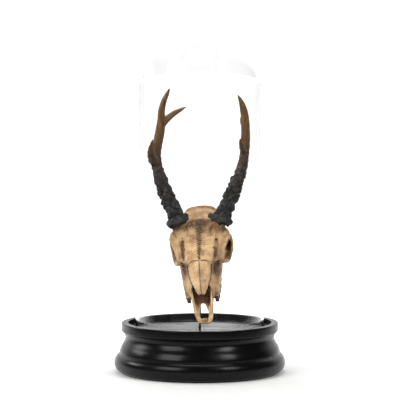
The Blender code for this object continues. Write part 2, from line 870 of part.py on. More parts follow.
def hand_over(item, collection, material):
    """Finishes a node: one closed surface, its material, smooth shading and its collection."""
    keep_largest(item)
    item.data.materials.clear()
    item.data.materials.append(material)
    item.data.shade_smooth()
    item.data.set_sharp_from_angle(angle=math.radians(35))
    for owner in list(item.users_collection):
        owner.objects.unlink(item)
    collection.objects.link(item)
    item.hide_render = False
    item.display_type = "TEXTURED"


def main():
    clear_scene()
    parts = make_collection("roe deer skull under glass")
    make_collection("guides")
    nodes = {
        "base_turned": (turned("base_turned", base_profile(), BASE_SEGMENTS), (LACQUER, 0.35, 0)),
        "base_disc": (make_disc(), (LACQUER, 0.08, 0)),
        "glass_dome": (turned("glass_dome", dome_profile(), DOME_SEGMENTS), (GLASS, 0.02, 0, 0.95)),
        "mount_rod": (
            cylinder("mount_rod", ROD_RADIUS, BASE_RECESS_FLOOR + GAP, ROD_TOP, 12), (STEEL, 0.35, 1)),
    }
    bones = part_bones(model_skull())
    for bone in bones.values():
        pose_skull(bone)
    seats = []
    for label, antler in (
        ("left", (LEFT_BEAM, LEFT_FRONT_TINE, LEFT_REAR_TINE, 11)),
        ("right", (RIGHT_BEAM, RIGHT_FRONT_TINE, RIGHT_REAR_TINE, 47)),
    ):
        pieces, beam = make_antler(label, *antler)
        seats.append(burr_seat(beam))
        for name, piece in pieces.items():
            nodes[name] = (piece, (ANTLER, 0.6, 0))
    for name, bone in bones.items():
        cutters = [cylinder("rod bore", ROD_RADIUS + GAP, 40, ROD_TOP + GAP, 16)]
        if name.startswith("frontal"):
            cutters += seats
            seats = [region_copy(seat, "burr seat") for seat in seats]
        combine(bone, cutters, "DIFFERENCE")
        nodes[name] = (bone, (BONE, 0.55, 0))
    for name, (item, finish) in nodes.items():
        item.name = name
        hand_over(item, parts, make_material(f"{name} surface", *finish))
    for item in list(bpy.data.collections["guides"].objects):
        bpy.data.objects.remove(item)


main()
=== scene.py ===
"""Looks of a roe buck's skull with its antlers, on a rod under a glass dome with a turned base.

The frame is that of the solids: the origin is the middle of the base's underside, +Z is up and
the skull faces -Y. Tables are in millimetres and MM turns them into metres. The skull is worked
on in a frame of its own: x to the side, y back from the snout's tip, z up from the palate.
"""

import math

import bmesh
import bpy
import numpy as np
from mathutils import Matrix, Vector, noise
from mathutils.bvhtree import BVHTree
from mathutils.kdtree import KDTree


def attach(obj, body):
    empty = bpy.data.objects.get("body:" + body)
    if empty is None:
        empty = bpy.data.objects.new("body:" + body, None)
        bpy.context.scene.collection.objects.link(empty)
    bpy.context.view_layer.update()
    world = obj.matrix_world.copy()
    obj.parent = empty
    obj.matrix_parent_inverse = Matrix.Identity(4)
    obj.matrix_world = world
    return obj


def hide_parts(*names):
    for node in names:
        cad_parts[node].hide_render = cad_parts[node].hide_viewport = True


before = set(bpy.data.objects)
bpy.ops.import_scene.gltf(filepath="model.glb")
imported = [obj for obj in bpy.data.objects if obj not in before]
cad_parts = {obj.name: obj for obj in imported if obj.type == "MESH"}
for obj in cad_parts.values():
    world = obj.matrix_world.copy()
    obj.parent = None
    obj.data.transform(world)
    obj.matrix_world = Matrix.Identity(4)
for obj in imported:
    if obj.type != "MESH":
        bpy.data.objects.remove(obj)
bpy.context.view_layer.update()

bl_info = {
    "name": "Roe deer skull under glass",
    "version": (1, 0, 0),
    "blender": (4, 5, 0),
    "location": "3D View > Sidebar > Skull",
    "description": "Makes the bones, antlers, base, disc, dome and rod of a mounted roe deer skull",
    "category": "Object",
}

MM = 0.001
SIDES = (("left", -1), ("right", 1))

# Settings that many of the materials' nodes share. In a mix of colours, socket 0 is the share,
# sockets 6 and 7 are the two colours, and output 2 is the result.
SOFT = {"interpolation_type": "SMOOTHSTEP"}
COLOUR = {"data_type": "RGBA"}
COLOUR_TIMES = {"data_type": "RGBA", "blend_type": "MULTIPLY"}
TIMES = {"operation": "MULTIPLY"}
TIMES_PLUS = {"operation": "MULTIPLY_ADD"}

# How far each solid grows, in metres, so that it meets its neighbours across their gap.
MEETING_GROWTH = 0.00022
# Rounds of softening that take the solids' facets away.
BONE_ROUNDS = 26
ANTLER_ROUNDS = 5
# Rounds over which a place is compared with its surroundings.
BONE_SURROUNDINGS = 6
ANTLER_SURROUNDINGS = 5
# How far the rays reach that feel for hollows, and one vertex in how many sends them.
SHELTER_REACH = 22 * MM
SHELTER_EVERY = 10
# The heights over which the antlers' pearls fade, in metres.
PEARLS_FADE = (0.266, 0.312)

# The skull's pose on its rod, as in the solids.
SNOUT_PLACE = (1.1, -71, 80)
NOSE_DOWN = math.radians(38)
TURN = math.radians(-2.2)
ROLL = math.radians(-5.5)
SNOUT_BEND = 6.4
BEND_START = 83
BEND_POWER = 1.5

# Where the bones part, in side view: distance back and height, from the front end to the rear.
FRONT_END = ((-20, 80), (-20, -30))
JAW_SEAM = ((56, 60), (50, 25), (40, 12), (33.5, 2), (31, -30))
FACE_SEAM = ((82, 80), (83.6, 42), (88, 34), (93, 26), (102, 14), (112, 4), (118, -30))
CROWN_SEAM = ((152, 80), (149, 54), (147, 30), (140, 12), (137, -30))
REAR_END = ((230, 80), (230, -30))

# The nasal bones: distance back, half-width and height of the midline.
NASAL_SECTIONS = (
    (33.5, 4.4, 21.4),
    (37, 6.6, 22.9),
    (42, 8.6, 24.9),
    (48, 10.8, 27.3),
    (56, 13.8, 30.5),
    (68, 16.2, 35),
    (78, 17, 38.4),
    (83, 15, 40),
)
NASAL_THICKNESS = 2.4
NASAL_SAG = 0.28
NASAL_REAR = 83.2
NASAL_SHARES = (0, 0.25, 0.5, 0.7, 0.85, 1)

# Sutures that lie on the surface of both sides of the skull, as points beside the midline.
SIDE_SUTURES = (
    ((34, 97, 35), (30, 95, 39), (24, 93, 41), (20.5, 87, 39.5), (17.5, 82, 38)),
    ((35, 106, 13), (31, 92, 13), (28, 80, 16), (25, 70, 15)),
    ((32, 150, 40), (33, 162, 43), (29, 176, 40)),
    ((30, 150, 22), (33, 138, 20), (41, 132, 22)),
)
# The raised lip behind the pit in front of each eye.
PIT_LIP = ((31, 88, 20), (31.5, 93, 28), (27.5, 93, 35), (21.5, 89, 37.5))
# Small holes for vessels: place beside the midline, radius and depth.
VESSEL_HOLES = (
    ((21.5, 104, 44), 1.6, 2.2),
    ((24, 121, 50), 1.3, 1.6),
    ((23, 54, 13), 2.2, 2.6),
    ((29.5, 93, 31), 1.4, 1.8),
    ((9, 140, 53), 0.9, 1),
    ((13, 124, 50), 0.8, 0.9),
)

# Broad patches of brown wash, with painted shade under the burrs and inside the nose, and a lighter
# patch that eases the painted shade in each orbit: place beside the midline, radii, strength.
WASH_AND_SHADE_PATCHES = (
    ((26, 78, 27), (11, 13.5, 12), 0.8),
    ((1.5, -1.5, 5.5), (4.4, 4, 3.6), 0.4),
    ((25.5, 104, 43), (7, 21, 9), 0.36),
    ((35, 119, 27), (18, 20, 19), -0.7),
    ((0, 146, 55), (38, 6, 12), 0.3),
    ((0, 136, 53), (13, 11, 10), 0.12),
    ((0, 42, 9), (13.2, 24, 13), 0.55),
    ((32, 134, 56), (15, 11, 15), 0.56),
    ((24, 54, 2), (12, 16, 6), 0.3),
    ((0, 165, 10), (24, 26, 8), 0.35),
)

# The room of each orbit, beside the midline.
ORBIT_PLACE = (38, 117, 25)
ORBIT_REACH = (12, 19, 19)

BONE_NODES = (
    "braincase", "frontal_left", "frontal_right", "upper_jaw_left", "upper_jaw_right",
    "premaxilla_left", "premaxilla_right", "nasal_left", "nasal_right",
)
ANTLER_PARTS = ("beam", "top", "front_tine", "rear_tine")
# Each antler's foot and the way that it grows from there.
ANTLER_FEET = {
    "left": ((-29.6, -1.5, 212), (-6.8, -2, 17.5)),
    "right": ((30, -2.5, 214.5), (5.5, -1.5, 18.5)),
}

# The turned base from the recess outwards and down: radius, height and reach of the rounding.
RIM_PROFILE = (
    (0, 63, 0),
    (102.5, 63, 1),
    (102.5, 71.5, 0.7),
    (112.2, 71.5, 1.8),
    (112.2, 60, 0.9),
    (109, 57, 0),
)
NECK_POINTS = (
    (109, 57), (107.5, 54.5), (106.3, 51.5), (107, 48), (109, 43.5),
    (112.3, 38), (114.3, 33), (115.2, 29.5), (115.2, 27),
)
TORUS_CENTRE = (111.8, 14.5)
TORUS_RADII = (10.42, 13.2)
TORUS_ANGLES = (65, -72)
FOOT_RADIUS = 113

DISC_BOTTOM = 63.3
DISC_TOP = 65.3
ROD_HOLE = 2.05
DOME_FOOT = 63.3
DOME_SHOULDER = 413
DOME_TOP = 508

# The stage: places in metres, the camera's tilt, and its focal length in millimetres.
FLOOR_REACH = 60
LAMP_AIM = (0, 0, 0.25)
CAMERA_PLACE = (0.00026, -3.16316, 0.461)
CAMERA_DOWN = math.radians(3.882)
FOCAL_LENGTH = 200


def linear(hex_colour):
    """An sRGB hex colour as linear red, green and blue."""
    channels = [int(hex_colour[i:i + 2], 16) / 255 for i in (0, 2, 4)]
    return tuple(c / 12.92 if c <= 0.04045 else ((c + 0.055) / 1.055) ** 2.4 for c in channels)


def size_of(text, default, low, high):
    """A length that a user would change, in metres."""
    return bpy.props.FloatProperty(
        name=text, description=f"{text}, in metres", default=default, min=low, max=high,
        subtype="DISTANCE", unit="LENGTH", precision=5)


def colour_of(text, hex_colour):
    """A colour that a user would change."""
    return bpy.props.FloatVectorProperty(
        name=text, description=f"{text}, as linear light", default=linear(hex_colour),
        min=0, max=1, subtype="COLOR")


def power_of(text, default):
    """The power of a lamp."""
    return bpy.props.FloatProperty(
        name=text, description=f"Power of the {text.lower()}", default=default, min=0, max=500,
        unit="POWER")


class MountSettings(bpy.types.PropertyGroup):
    """The base, disc, dome and rod."""
    disc_radius: size_of("Disc radius", 0.0875, 0.05, 0.1)
    dome_radius: size_of("Dome radius", 0.0923, 0.06, 0.1)
    dome_wall: size_of("Thickness of the glass", 0.003, 0.001, 0.006)
    rod_radius: size_of("Rod radius", 0.00175, 0.001, 0.002)
    rod_top: size_of("Top of the rod", 0.155, 0.1, 0.16)
    segments: bpy.props.IntProperty(
        name="Segments", description="Steps round each turned piece", default=160, min=48, max=256)
    lacquer: colour_of("Black lacquer", "090808")
    gloss: colour_of("Gloss of the disc", "080808")
    steel: colour_of("Dark steel", "57534f")


class BoneSettings(bpy.types.PropertyGroup):
    """The skull's bones."""
    grain: size_of("Fineness of the skin", 0.00066, 0.0004, 0.002)
    suture_depth: size_of("Depth of the sutures", 0.0009, 0, 0.003)
    suture_width: size_of("Width of the sutures", 0.0008, 0.0002, 0.003)
    cream: colour_of("Light bone", "d2b182")
    tan: colour_of("Bone", "a57f56")
    # The brown and the dark colour also paint shade into the bone's hollows.
    brown: colour_of("Brown wash and painted shade", "654326")
    dark: colour_of("Wash and painted shade in the deepest hollows", "2b1a0e")
    tartar: colour_of("Tartar on the teeth", "4c3f33")


class AntlerSettings(bpy.types.PropertyGroup):
    """The antlers."""
    grain: size_of("Fineness of the skin", 0.0005, 0.0003, 0.002)
    pearl_size: size_of("Width of a pearl", 0.008, 0.001, 0.012)
    pearl_height: size_of("Height of a pearl", 0.0046, 0, 0.006)
    burr_height: size_of("Swell of the burr", 0.0012, 0, 0.004)
    charcoal: colour_of("Pearled foot", "121010")
    brown: colour_of("Brown middle", "3d2814")
    tan: colour_of("Polished tips", "6a4a20")
    dust: colour_of("Pale dust and painted highlight on the pearls", "383330")


class StageSettings(bpy.types.PropertyGroup):
    """The floor, lamps and camera."""
    floor: colour_of("Floor", "f4f4f3")
    table: colour_of("Table in front of the floor", "2a2a2a")
    backdrop: bpy.props.FloatProperty(
        name="Backdrop", description="Brightness of what is behind the display", default=1.16,
        min=0, max=5)
    lamp_left: power_of("Left lamp", 19)
    lamp_right: power_of("Right lamp", 14)
    lamp_side: power_of("Side lamp", 6.5)
    lamp_top: power_of("Top lamp", 24)


def set_sockets(tree, node, sockets):
    """Gives a node's sockets their values or links."""
    for key, value in sockets.items():
        socket = node.inputs[key]
        if isinstance(value, bpy.types.NodeSocket):
            tree.links.new(value, socket)
        elif socket.type == "RGBA":
            socket.default_value = (*value, 1)
        else:
            socket.default_value = value


def add_node(tree, kind, settings, sockets, output=0):
    """Adds a shader node, sets its properties and sockets, and gives back one of its outputs."""
    node = tree.nodes.new("ShaderNode" + kind)
    for name, value in settings.items():
        setattr(node, name, value)
    set_sockets(tree, node, sockets)
    return node.outputs[output]


def layered(tree, base, layers):
    """Covers a colour with layers. A layer's share follows a value from low to high."""
    for value, low, high, most, colour in layers:
        share = add_node(tree, "MapRange", SOFT, {
            "Value": value, "From Min": low, "From Max": high, "To Max": most})
        base = add_node(tree, "Mix", COLOUR, {0: share, 6: base, 7: colour}, 2)
    return base


def start_material(name):
    """A material with its shader and output, and nothing else."""
    material = bpy.data.materials.new(name)
    material.use_nodes = True
    tree = material.node_tree
    return material, tree, tree.nodes["Principled BSDF"]


def new_item(name, bm):
    """Turns a bmesh into an object in the scene."""
    mesh = bpy.data.meshes.new(name)
    bm.to_mesh(mesh)
    bm.free()
    item = bpy.data.objects.new(name, mesh)
    bpy.context.scene.collection.objects.link(item)
    return item


def present(item, material, replaced, sharp=math.radians(35)):
    """Gives a finished piece its material and its place in the frame."""
    item.data.materials.clear()
    item.data.materials.append(material)
    item.data.shade_smooth()
    if sharp:
        item.data.set_sharp_from_angle(angle=sharp)
    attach(item, "root")
    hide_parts(*replaced)


def face_outward(bm):
    """Turns the faces of a closed shape outward."""
    bmesh.ops.recalc_face_normals(bm, faces=bm.faces)
    if bm.calc_volume(signed=True) < 0:
        bmesh.ops.reverse_faces(bm, faces=bm.faces)
    return bm


def turned(profile, segments, loop=False):
    """Spins a profile of radius and height, in millimetres, round the upright axis."""
    bm = bmesh.new()
    points = [bm.verts.new((radius * MM, 0, height * MM)) for radius, height in profile]
    following = points[1:] + points[:1] if loop else points[1:]
    edges = [bm.edges.new(pair) for pair in zip(points, following)]
    bmesh.ops.spin(
        bm, geom=points + edges, axis=(0, 0, 1), cent=(0, 0, 0), angle=math.tau,
        steps=segments, use_merge=True)
    bmesh.ops.remove_doubles(bm, verts=bm.verts, dist=0.00001)
    return face_outward(bm)


def softened(profile, steps=5):
    """A profile with its corners rounded: each row is a radius, a height and a reach."""
    result = []
    for i, (radius, height, reach) in enumerate(profile):
        corner = Vector((radius, height))
        if not reach:
            result.append(corner)
            continue
        before = Vector(profile[i - 1][:2])
        after = Vector(profile[(i + 1) % len(profile)][:2])
        start = corner + (before - corner).normalized() * reach
        end = corner + (after - corner).normalized() * reach
        for k in range(steps + 1):
            t = k / steps
            result.append(start * (1 - t) ** 2 + corner * 2 * t * (1 - t) + end * t * t)
    return [tuple(point) for point in result]


def smooth_line(points, spacing):
    """Points about a spacing apart on a smooth line through rows of any length."""
    rows = [tuple(2 * a - b for a, b in zip(points[0], points[1])), *points]
    rows.append(tuple(2 * a - b for a, b in zip(points[-1], points[-2])))
    result = []
    for before, start, end, after in zip(rows, rows[1:], rows[2:], rows[3:]):
        steps = max(1, round(math.dist(start, end) / spacing))
        for step in range(steps):
            t = step / steps
            result.append(tuple(
                0.5 * (2 * b + (c - a) * t + (2 * a - 5 * b + 4 * c - d) * t**2
                       + (3 * b - a - 3 * c + d) * t**3)
                for a, b, c, d in zip(before, start, end, after)))
    result.append(tuple(points[-1]))
    return result


def oval_arc(centre, radii, angles, steps):
    """Points on an oval arc of a profile."""
    start, end = (math.radians(angle) for angle in angles)
    turns = [start + (end - start) * i / steps for i in range(steps + 1)]
    return [(centre[0] + radii[0] * math.cos(t), centre[1] + radii[1] * math.sin(t)) for t in turns]


def grown_copies(names):
    """Copies of the solids in one bmesh, each grown a little."""
    whole = bmesh.new()
    for name in names:
        part = bmesh.new()
        part.from_mesh(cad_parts[name].data)
        bmesh.ops.remove_doubles(part, verts=part.verts, dist=0.000002)
        part.normal_update()
        for vertex in part.verts:
            vertex.co += vertex.normal * MEETING_GROWTH
        mesh = bpy.data.meshes.new(name)
        part.to_mesh(mesh)
        part.free()
        whole.from_mesh(mesh)
        bpy.data.meshes.remove(mesh)
    return whole


def settle(item):
    """Replaces an object's mesh with the result of its modifiers."""
    bpy.context.view_layer.update()
    depsgraph = bpy.context.evaluated_depsgraph_get()
    mesh = bpy.data.meshes.new_from_object(item.evaluated_get(depsgraph))
    item.modifiers.clear()
    item.data = mesh


def fused(name, bm, fineness):
    """One even skin over overlapping closed shells."""
    item = new_item(name, bm)
    remesh = item.modifiers.new("fuse", "REMESH")
    remesh.mode = "VOXEL"
    remesh.voxel_size = fineness
    settle(item)
    return item


def places_of(mesh):
    places = np.empty(len(mesh.vertices) * 3, np.float32)
    mesh.vertices.foreach_get("co", places)
    return places.reshape(-1, 3).astype(float)


def set_places(mesh, places):
    mesh.vertices.foreach_set("co", places.astype(np.float32).ravel())
    mesh.update()


def normals_of(mesh):
    normals = np.empty(len(mesh.vertices) * 3, np.float32)
    mesh.vertex_normals.foreach_get("vector", normals)
    return normals.reshape(-1, 3).astype(float)


def edges_of(mesh):
    edges = np.empty(len(mesh.edges) * 2, np.int32)
    mesh.edges.foreach_get("vertices", edges)
    return edges.reshape(-1, 2)


def neighbour_mean(values, edges):
    """The mean of each vertex's neighbours, for a table with a row for each vertex."""
    count = len(values)
    near, far = edges[:, 0], edges[:, 1]
    degree = np.bincount(near, minlength=count) + np.bincount(far, minlength=count)
    total = np.stack([
        np.bincount(near, values[far, axis], count) + np.bincount(far, values[near, axis], count)
        for axis in range(values.shape[1])], axis=1)
    return total / np.maximum(degree, 1)[:, None]


def even_out(mesh, rounds, amount=None):
    """Softens facets without shrinking the shape, by pushing in and then out again."""
    places = places_of(mesh)
    edges = edges_of(mesh)
    amount = 1.0 if amount is None else amount[:, None]
    for _ in range(rounds):
        for strength in (0.5, -0.512):
            places += (neighbour_mean(places, edges) - places) * strength * amount
    set_places(mesh, places)


def shrink_back(mesh):
    """Takes the growth of the solids away again."""
    set_places(mesh, places_of(mesh) - normals_of(mesh) * MEETING_GROWTH)


def curvature(mesh, rounds):
    """How much each vertex stands proud of its wider surroundings, in millimetres."""
    places = places_of(mesh)
    edges = edges_of(mesh)
    wide = places
    for _ in range(rounds):
        wide = neighbour_mean(wide, edges)
    proud = np.sum((places - wide) * normals_of(mesh), axis=1) / MM
    return neighbour_mean(proud[:, None], edges)[:, 0]


def set_share(mesh, name, values):
    """Keeps a number from 0 to 1 on each vertex, for the material."""
    attribute = mesh.attributes.new(name, "FLOAT", "POINT")
    attribute.data.foreach_set("value", np.clip(values, 0, 1).astype(np.float32))


def ray_directions(count):
    """Directions spread evenly over a ball."""
    golden = math.pi * (3 - math.sqrt(5))
    result = []
    for i in range(count):
        height = 1 - 2 * (i + 0.5) / count
        radius = math.sqrt(1 - height * height)
        result.append(Vector((radius * math.cos(golden * i), radius * math.sin(golden * i), height)))
    return result


class Shelter:
    """How closed in each place on a surface is, felt by rays from a share of its vertices."""

    def __init__(self, mesh, every, reach):
        mesh.calc_loop_triangles()
        places = places_of(mesh)
        normals = normals_of(mesh)
        triangles = [tuple(triangle.vertices) for triangle in mesh.loop_triangles]
        tree = BVHTree.FromPolygons([Vector(place) for place in places], triangles)
        directions = ray_directions(40)
        chosen = range(0, len(places), every)
        self.offset = 1.2 * MM
        self.tree = KDTree(len(chosen))
        self.values = []
        for index, i in enumerate(chosen):
            normal = Vector(normals[i])
            start = Vector(places[i]) + normal * 0.0003
            open_light = whole = 0.0
            for direction in directions:
                facing = direction.dot(normal)
                if facing <= 0.05:
                    continue
                whole += facing
                distance = tree.ray_cast(start, direction, reach)[3]
                open_light += facing * (1 if distance is None else (distance / reach) ** 1.5 * 0.6)
            self.values.append(1 - open_light / whole)
            self.tree.insert(start + normal * self.offset, index)
        self.tree.balance()

    def at(self, places, normals):
        """How closed in each of some places is, from 0 to 1."""
        result = np.empty(len(places))
        for i, place in enumerate(places + normals * self.offset):
            total = weights = 0.0
            for _, index, distance in self.tree.find_n(place, 4):
                weight = 1 / (distance + 0.0002)
                total += self.values[index] * weight
                weights += weight
            result[i] = total / weights
        return result


def skull_pose():
    """From the skull's own frame to the display's."""
    return (
        Matrix.Translation(Vector(SNOUT_PLACE) * MM)
        @ Matrix.Rotation(TURN, 4, "Z")
        @ Matrix.Rotation(NOSE_DOWN, 4, "X")
        @ Matrix.Rotation(ROLL, 4, "Y")
    )


def snout_shift(back):
    """How far the bent snout lies aside, in metres, at distances back."""
    return SNOUT_BEND * MM * np.clip(1 - back / (BEND_START * MM), 0, None) ** BEND_POWER


def into_skull_frame(mesh):
    inverse = np.array(skull_pose().inverted())
    places = places_of(mesh) @ inverse[:3, :3].T + inverse[:3, 3]
    places[:, 0] -= snout_shift(places[:, 1])
    set_places(mesh, places)


def into_display_frame(mesh):
    pose = np.array(skull_pose())
    places = places_of(mesh)
    places[:, 0] += snout_shift(places[:, 1])
    set_places(mesh, places @ pose[:3, :3].T + pose[:3, 3])


def saw(along, pitch, seed):
    """A wandering saw-tooth from -1 to 1, for the way that bones interlock."""
    phase = along / pitch + 0.7 * np.sin(along * 0.43 / pitch + seed) + seed
    return 2 * np.abs(2 * (phase - np.floor(phase + 0.5))) - 1


def jag(along, pitch, seed):
    return 0.65 * saw(along, pitch, seed) + 0.35 * saw(along, pitch * 0.47, seed + 2.1)


def line_distance(points, line):
    """The distance of each point from a line through a few points, in millimetres."""
    best = np.full(len(points), 1e9)
    for start, end in zip(line, line[1:]):
        start = np.array(start, float)
        along = np.array(end, float) - start
        share = np.clip((points - start) @ along / (along @ along), 0, 1)
        best = np.minimum(best, np.linalg.norm(points - start - share[:, None] * along, axis=1))
    return best


def soft_step(value, low, high):
    share = np.clip((value - low) / (high - low), 0, 1)
    return share * share * (3 - 2 * share)


def folded(points):
    """The points with the left side's moved onto the right."""
    return np.stack([np.abs(points[:, 0]), points[:, 1], points[:, 2]], axis=1)


def seam_place(seam, height):
    """How far back a seam lies at each height."""
    rows = sorted((z, y) for y, z in seam)
    return np.interp(height, [row[0] for row in rows], [row[1] for row in rows])


def midline_band(back):
    """Half the width over which the two frontal bones interlock."""
    return np.interp(back, [82, 90, 104, 120, 136, 150, 156], [0.6, 1.4, 2.6, 3.7, 3.6, 2.4, 0.6])


def nasal_rear(across):
    """How far back the nasal bones reach, at distances beside the midline."""
    return NASAL_REAR + 0.0172 * across**2 - 0.000153 * across**4


def suture_distance(points, upward):
    """How far each point is from the nearest suture, in millimetres."""
    x, y, z = points.T
    side = np.abs(x)
    far = 50.0
    back, half, crown = np.array(NASAL_SECTIONS).T
    nasal_half = np.interp(y, back, half) + 0.4
    nasal_top = np.interp(y, back, crown) - NASAL_SAG * nasal_half
    roof = (upward > 0.15) & (z > 14)
    lines = [
        np.where(
            roof & (y > 83) & (y < 139), np.abs(x - midline_band(y) * jag(y, 4.1, 0.4)) * 0.5, far),
        np.where(roof & (y < 84), np.abs(x - 0.35 * jag(y, 5.5, 1.3)), far),
        np.where(
            (z > 24) & (side < 34),
            np.abs(y - seam_place(CROWN_SEAM, z) - 1.5 * jag(x + 0.6 * z, 3.3, 2.2)) + 0.8, far),
        np.where(
            roof & (side < nasal_half + 1) & (y > 70),
            np.abs(y - nasal_rear(x) - 0.8 * jag(x, 3.1, 0.9)), far),
        np.where(
            (y > 35) & (y < 80) & (z > nasal_top - 4),
            np.abs(side - nasal_half - 0.3 * jag(y, 4.2, 1.9)), far),
        np.where(
            (side > 19) & (z < 33) & (z > 2) & (y < 115),
            np.abs(y - seam_place(FACE_SEAM, z) - 0.7 * jag(z, 3.6, 0.2)) * 0.75 + 0.2, far),
        np.where(
            (z > 1) & (y < 58) & (side > np.maximum(nasal_half + 2, 11)),
            np.abs(y - seam_place(JAW_SEAM, z) - 0.4 * jag(z, 4.6, 1.1)) * 0.75 + 0.3, far),
    ]
    mirrored = folded(points)
    wander = np.array([noise.noise(Vector(point) * 0.45) for point in mirrored]) * 0.9
    lines += [line_distance(mirrored, line) + np.abs(wander) for line in SIDE_SUTURES]
    return np.minimum.reduce(lines)


def rough_crown(points, upward):
    """Where the frontal bones are rough: along their midline and towards the crown seam."""
    x, y, z = points.T
    band = np.exp(-(x / (midline_band(y) + 0.6)) ** 4)
    band *= soft_step(y, 84, 96) * soft_step(-y, -154, -148)
    crown = np.exp(-((y - 144) / 9) ** 2) * np.exp(-(x / 19) ** 4) * 0.7
    return np.maximum(band, crown) * soft_step(upward, 0, 0.4) * soft_step(z, 32, 38)


def fine_noise(points, scale, stretch=(1, 1, 1)):
    """Smooth noise from -1 to 1 at a scale in millimetres, drawn out along an axis."""
    factor = np.array([1 / (scale * s) for s in stretch])
    return np.array([noise.noise(Vector(point)) for point in points * factor])


def tooth_share(points):
    """1 on the cheek teeth and 0 on bone."""
    x, y, z = points.T
    row = soft_step(y, 42, 45) * soft_step(-y, -109, -106)
    return soft_step(-z, -1, 1.5) * row * (np.abs(x) > 13)


def carve_bone(mesh, settings):
    """Raises and cuts the bones' surface: sutures, vessels' holes, grain and rough places."""
    places = places_of(mesh)
    normals = normals_of(mesh)
    points = places / MM
    _, y, z = points.T
    width = settings.suture_width / MM
    depth = settings.suture_depth / MM
    gap = suture_distance(points, normals[:, 2])
    lip = np.exp(-((gap - 2 * width) / width) ** 2)
    lift = -depth * np.exp(-(gap / width) ** 2) + 0.28 * depth * lip
    lift += 0.3 * fine_noise(points, 9) * soft_step(y, 30, 90)
    lift += 0.14 * fine_noise(points, 2.6)
    lift += 0.16 * fine_noise(points, 2.2, (1, 7, 1)) * soft_step(-y, -88, -60)
    rough = rough_crown(points, normals[:, 2])
    lift += rough * (0.5 * fine_noise(points, 1.9) - 0.12)
    mirrored = folded(points)
    lift -= soft_step(-y, -38, -34) * (z > 18) * (0.5 + 0.9 * fine_noise(points, 2.2, (1, 3, 1)))
    lift += tooth_share(points) * (0.7 * fine_noise(points, 2.4, (1, 1, 3)) - 0.2)
    lift += 0.8 * np.exp(-(line_distance(mirrored, PIT_LIP) / 1.6) ** 2)
    for place, radius, deep in VESSEL_HOLES:
        distance = np.linalg.norm(mirrored - np.array(place), axis=1)
        lift -= deep * np.exp(-(distance / radius) ** 2)
    set_places(mesh, places + normals * (lift * MM)[:, None])


def slab(front, rear, near, far):
    """A block between two seams in side view, from one distance beside the midline to another."""
    hair = 0.02
    outline = [(y + hair, z) for y, z in front] + [(y - hair, z) for y, z in reversed(rear)]
    bm = bmesh.new()
    ring = [bm.verts.new((near * MM, y * MM, z * MM)) for y, z in outline]
    face = bm.faces.new(ring)
    grown = bmesh.ops.extrude_face_region(bm, geom=[face])
    moved = [item for item in grown["geom"] if isinstance(item, bmesh.types.BMVert)]
    bmesh.ops.translate(bm, verts=moved, vec=((far - near) * MM, 0, 0))
    return face_outward(bm)


def nasal_block(side, growth):
    """The room of one nasal bone, wider and deeper by a growth in millimetres."""
    rings = []
    for back, half, crown in smooth_line(NASAL_SECTIONS, 5):
        outer = half + 0.4 + growth
        inner = 0.02 - growth
        deep = NASAL_THICKNESS + growth
        bend = NASAL_SAG * half
        back += growth if back > 80 else 0
        under = [
            (inner + (outer - inner) * share, crown - deep - bend * 0.9 * share * share)
            for share in NASAL_SHARES]
        over = [(x, crown + 9) for x, _ in reversed(under)]
        rings.append([
            (side * x, back + (nasal_rear(x) - NASAL_REAR) * (back > 72), z) for x, z in under + over])
    rings.insert(0, [(x, y - 8, z) for x, y, z in rings[0]])
    bm = bmesh.new()
    loops = []
    for ring in rings:
        corners = [bm.verts.new(Vector(point) * MM) for point in ring]
        loops.append([bm.edges.new((a, b)) for a, b in zip(corners, corners[1:] + corners[:1])])
    for first, second in zip(loops, loops[1:]):
        bmesh.ops.bridge_loops(bm, edges=first + second)
    bmesh.ops.holes_fill(bm, edges=loops[0] + loops[-1], sides=2 * len(NASAL_SHARES))
    return face_outward(bm)


def cut_with(item, bm, operation):
    """Cuts or crosses a piece with a closed block."""
    block = new_item("block", bm)
    mesh = block.data
    cut = item.modifiers.new("cut", "BOOLEAN")
    cut.operation = operation
    cut.solver = "MANIFOLD"
    cut.object = block
    settle(item)
    bpy.data.objects.remove(block)
    bpy.data.meshes.remove(mesh)


def part_bones(skull):
    """Parts the fused skull along its seams, each bone a closed piece."""
    far = 70
    cuts = {"braincase": (CROWN_SEAM, REAR_END, -far, far)}
    for label, side in SIDES:
        near = side * 0.02
        cuts[f"frontal_{label}"] = (FACE_SEAM, CROWN_SEAM, near, side * far)
        cuts[f"upper_jaw_{label}"] = (JAW_SEAM, FACE_SEAM, near, side * far)
        cuts[f"premaxilla_{label}"] = (FRONT_END, JAW_SEAM, near, side * far)
    bones = {}
    for name in BONE_NODES:
        bone = skull.copy()
        bone.data = skull.data.copy()
        bone.name = f"bone_{name}"
        bpy.context.scene.collection.objects.link(bone)
        side = -1 if name.endswith("left") else 1
        if name.startswith("nasal"):
            cut_with(bone, nasal_block(side, 0), "INTERSECT")
        else:
            cut_with(bone, slab(*cuts[name]), "INTERSECT")
            if name != "braincase":
                cut_with(bone, nasal_block(side, 0.04), "DIFFERENCE")
        bones[name] = bone
    return bones


